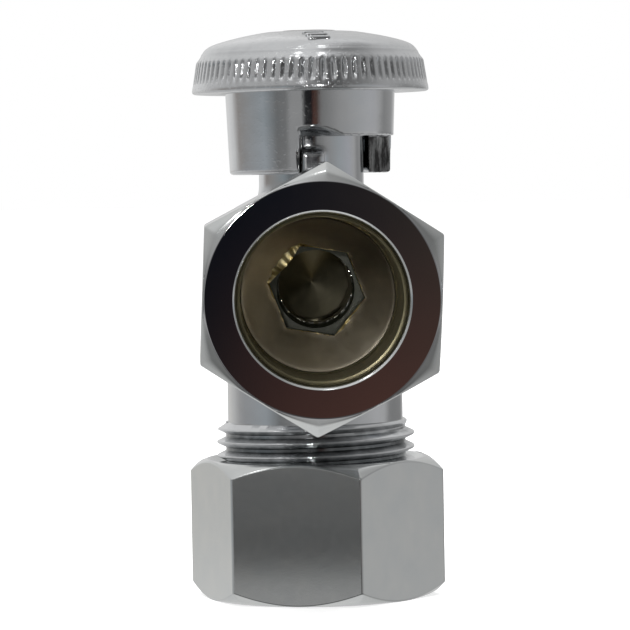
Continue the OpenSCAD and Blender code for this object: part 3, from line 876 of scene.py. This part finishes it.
def ball():
    """The ball with its side waterway, lower waterway and stem slot, about its own centre."""
    lower, past, slope, slot = 3.1, 3.2, math.radians(31), 1.1

    def distance(p):
        d = np.linalg.norm(p, axis=-1) - BALL
        d = cut(d, rod(p, 2, lower, -9, 0), 0.12)
        around = np.hypot(p[..., 0], p[..., 2] - PORT_RISE) - PORT_R
        tip = (around + (p[..., 1] - past) / math.tan(slope)) * math.sin(slope)
        drill = np.maximum(np.maximum(around, tip), -p[..., 1] - 9)
        d = cut(d, drill, 0.12)
        return cut(d, block(p, (-slot, -9, BALL - 2), (slot, 9, 9), 0.05), 0.1)

    found, faces = skin(distance, (-BALL,) * 3, (BALL,) * 3, 0.17)
    inside = np.linalg.norm(found[np.array(faces)].mean(1), axis=-1) < BALL - 0.06
    centre = (0, 0, OUTLET_Z)
    make("ball_with_ports", [(found + centre, faces, inside.astype(int))], [CHROME_BALL, BRASS_PORT],
         "ball", "ball", 45, at=centre)


# ---------------------------------------------------------------- kept CAD nodes

FINISH = {
    "retainer_o_ring": RUBBER, "outlet_seat_o_ring": RUBBER, "rear_seat_o_ring": RUBBER,
    "stem_o_ring_lower": RUBBER, "stem_o_ring_upper": RUBBER, "outlet_seat": SEAT, "rear_seat": SEAT,
    "thrust_washer": SEAT, "neck_bearing_washer": ACETAL, "stem": BRASS,
    "handle_screw": STEEL, "lock_washer": STEEL,
}


def kept_nodes():
    for name, material in FINISH.items():
        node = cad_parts[name]
        node.data.materials.clear()
        node.data.materials.append(material)


# ---------------------------------------------------------------- stage, light and camera


def flat_sheet(name, corners, material):
    """A four-sided sheet from its corners in metres."""
    mesh = bpy.data.meshes.new(name)
    mesh.from_pydata(corners, [], [(0, 1, 2, 3)])
    mesh.materials.append(material)
    sheet = bpy.data.objects.new(name, mesh)
    bpy.context.scene.collection.objects.link(sheet)
    return sheet


def floor():
    """A white floor through the origin."""
    m = Surface("floor")
    m.set(Metallic=0.0, Specular_IOR_Level=0.1, Emission_Color=(1, 1, 1, 1), Emission_Strength=0.62)
    at = m.place(10.0)
    m.link(m.ramp(m.noise(at, 1.0, 3), (0.3, 0.86), (0.7, 0.90)), "Base Color")
    m.link(m.ramp(m.noise(at, 3.0, 3), (0.3, 0.8), (0.7, 0.9)), "Roughness")
    size = 3.0
    corners = [(-size, -size, 0), (size, -size, 0), (size, size, 0), (-size, size, 0)]
    flat_sheet("floor", corners, m.material).visible_glossy = False


def dark_card():
    """A low dark card to the front left, seen only in the plating: it shades the lower nut."""
    m = Surface("card")
    m.set(Metallic=0.0, Roughness=0.9, Specular_IOR_Level=0.0)
    m.link(m.ramp(m.noise(m.place(10.0), 1.0, 2), (0.3, 0.105), (0.7, 0.120)), "Base Color")
    centre, half_width = (-30, -82), 20
    low, high = -5.4, 10
    lean = math.radians(20)
    ends = [(centre[0] + k * half_width * math.cos(lean), centre[1] - k * half_width * math.sin(lean))
            for k in (-1, 1)]
    corners = [(*ends[0], low), (*ends[1], low), (*ends[1], high), (*ends[0], high)]
    card = flat_sheet("card", (np.array(corners, float) * MM).tolist(), m.material)
    card.visible_camera = False
    card.visible_diffuse = False
    card.visible_shadow = False


def surroundings():
    """The studio that the plating mirrors: bright above and behind, dark in front, grey at the sides."""
    world = bpy.data.worlds.new("studio")
    bpy.context.scene.world = world
    world.use_nodes = True
    w = Nodes(world.node_tree)
    w.tree.nodes.clear()
    way = w.add("ShaderNodeTexCoord").outputs["Generated"]
    x, y, z = w.add("ShaderNodeSeparateXYZ", {0: way}).outputs
    # Round the horizon: 0 behind, 0.25 left, 0.5 towards the camera, 0.75 right, 1 behind
    turn = w.math("ARCTAN2", x, w.math("MULTIPLY", y, -1.0))
    turn = w.math("ADD", w.math("DIVIDE", turn, 2 * math.pi), 0.5)
    rise = w.math("DIVIDE", w.math("ARCSINE", z), math.radians(1))
    colour, below = None, None
    for height, stops in STUDIO:
        band = w.ramp(turn, *[(degrees / 360 + 0.5, value) for degrees, value in stops])
        if colour is None:
            colour = band
        else:
            share = w.add("ShaderNodeMapRange", {"Value": rise, "From Min": below, "From Max": height},
                          interpolation_type="SMOOTHSTEP").outputs[0]
            colour = w.mix(share, colour, band)
        below = height
    # The camera itself sees white
    seen = w.add("ShaderNodeLightPath").outputs["Is Camera Ray"]
    light = w.add("ShaderNodeBackground", {"Color": w.mix(seen, colour, (1, 1, 1, 1)), "Strength": 1.0})
    w.add("ShaderNodeOutputWorld", {0: light.outputs[0]})


# The studio, as rings of brightness at some heights above the horizon (degrees). In each ring an angle is
# counted from the camera's side, + to the right: the front is dark, the left and the back are bright.
STUDIO = [
    (-72, [(-180, 0.80), (-60, 0.80), (0, 0.78), (60, 0.72), (180, 0.80)]),
    (-40, [(-180, 0.74), (-90, 0.55), (-40, 0.16), (30, 0.10), (90, 0.36), (180, 0.74)]),
    (-16, [(-180, 0.70), (-90, 0.50), (-40, 0.16), (0, 0.06), (40, 0.14), (90, 0.36), (180, 0.70)]),
    (-8, [(-180, 0.70), (-140, 0.76), (-90, 0.55), (-40, 0.44), (-14, 0.42), (0, 0.08), (14, 0.22),
          (60, 0.45), (98, 0.55), (125, 0.32), (150, 0.30), (170, 0.60)]),
    (-5, [(-180, 0.66), (-150, (0.64, 0.63, 0.61)), (-108, (0.375, 0.39, 0.405)),
          (-70, (0.40, 0.43, 0.455)), (-48, 0.20), (-36, 0.22), (-29, 0.34), (-14, 0.33),
          (-9, (0.02, 0.02, 0.022)), (0.3, (0.016, 0.014, 0.015)), (2.0, (0.095, 0.044, 0.035)),
          (7, (0.09, 0.05, 0.04)), (14, 0.22), (40, 0.36), (84, 0.50), (101, 0.50), (112, 0.26),
          (150, 0.24), (166, 0.60)]),
    (-0.5, [(-180, 0.70), (-152, 0.80), (-136, 0.74), (-120, (0.31, 0.28, 0.26)), (-98, (0.32, 0.31, 0.30)),
            (-66, (0.27, 0.31, 0.33)), (-50, (0.16, 0.18, 0.19)), (-36, (0.17, 0.18, 0.19)), (-26, 0.32),
            (-14, 0.33), (-8, 0.02), (0, (0.004, 0.006, 0.010)), (2.2, (0.012, 0.012, 0.016)),
            (4, (0.045, 0.036, 0.030)), (8, (0.05, 0.05, 0.05)), (12, 0.22), (24, 0.27), (36, 0.34),
            (62, (0.38, 0.41, 0.43)), (90, (0.45, 0.46, 0.49)), (108, 0.46), (120, 0.30), (146, 0.36),
            (162, 0.60)]),
    (7, [(-180, 0.70), (-150, 0.80), (-128, 0.60), (-100, 0.34), (-60, 0.30), (-36, 0.26), (-18, 0.14),
         (-9, 0.03), (7, 0.02), (16, 0.08), (34, 0.20), (60, 0.34), (108, 0.42), (120, 0.30), (150, 0.50),
         (166, 0.60)]),
    (18, [(-180, 0.85), (-130, 0.64), (-70, 0.46), (-36, 0.40), (-14, 0.14), (10, 0.07), (34, 0.16),
          (90, 0.34), (140, 0.62)]),
    (50, [(-180, 0.74), (-90, 0.76), (-40, 0.84), (-12, 0.74), (10, 0.36), (60, 0.29), (120, 0.46),
          (160, 0.82)]),
    (82, [(-180, 0.80), (-60, 0.84), (20, 0.74), (90, 0.66), (180, 0.80)]),
]


def lamp(name, azimuth, elevation, distance, size, power, mirrored=True):
    """A soft light that looks at the valve from a direction round it."""
    data = bpy.data.lights.new(name, "AREA")
    data.shape = "RECTANGLE"
    data.size, data.size_y = size
    data.energy = power
    light = bpy.data.objects.new(name, data)
    bpy.context.scene.collection.objects.link(light)
    a, e = math.radians(azimuth), math.radians(elevation)
    way = Vector((math.sin(a) * math.cos(e), -math.cos(a) * math.cos(e), math.sin(e)))
    aim = Vector((0, -0.005, 0.032))
    light.location = aim + way * distance
    light.rotation_mode = "QUATERNION"
    light.rotation_quaternion = way.to_track_quat("Z", "Y")
    light.visible_glossy = mirrored


def lights():
    lamp("window_left", -36, 29, 0.9, (0.06, 0.10), 0.10)
    lamp("deep_light", -8.5, 8.5, 0.9, (0.05, 0.05), 1.0)
    lamp("overhead", 10, 80, 1.0, (0.8, 0.8), 9.0, mirrored=False)
    lamp("glint_left", -72, 60, 1.0, (0.12, 0.09), 0.14)
    lamp("glint_top", -6, 72, 1.0, (0.12, 0.07), 0.10)


def camera():
    """A long lens close to the outlet's height, a little to the left of its axis."""
    place = Vector((-0.01241, -0.386, 0.0458))
    yaw, pitch, roll = -0.0325, -0.043, 0.017
    turn = Matrix.Rotation(yaw, 3, "Z") @ Matrix.Rotation(pitch, 3, "X") @ Matrix.Rotation(roll, 3, "Y")
    lens_axes = Matrix(((1, 0, 0), (0, 0, -1), (0, 1, 0)))
    data = bpy.data.cameras.new("camera")
    # The picture is 630 pixels wide, and the lens is 3710 of them long
    data.sensor_width = 36.0
    data.lens = data.sensor_width * 3710 / 630
    data.clip_start, data.clip_end = 0.01, 50
    view = bpy.data.objects.new("camera", data)
    bpy.context.scene.collection.objects.link(view)
    view.matrix_world = Matrix.Translation(place) @ (turn @ lens_axes).to_4x4()
    bpy.context.scene.camera = view


valve_body()
nuts()
sleeves()
seat_retainer()
handle()
ball()
kept_nodes()
floor()
dark_card()
surroundings()
lights()
camera()
bpy.context.scene.view_settings.view_transform = "Standard"
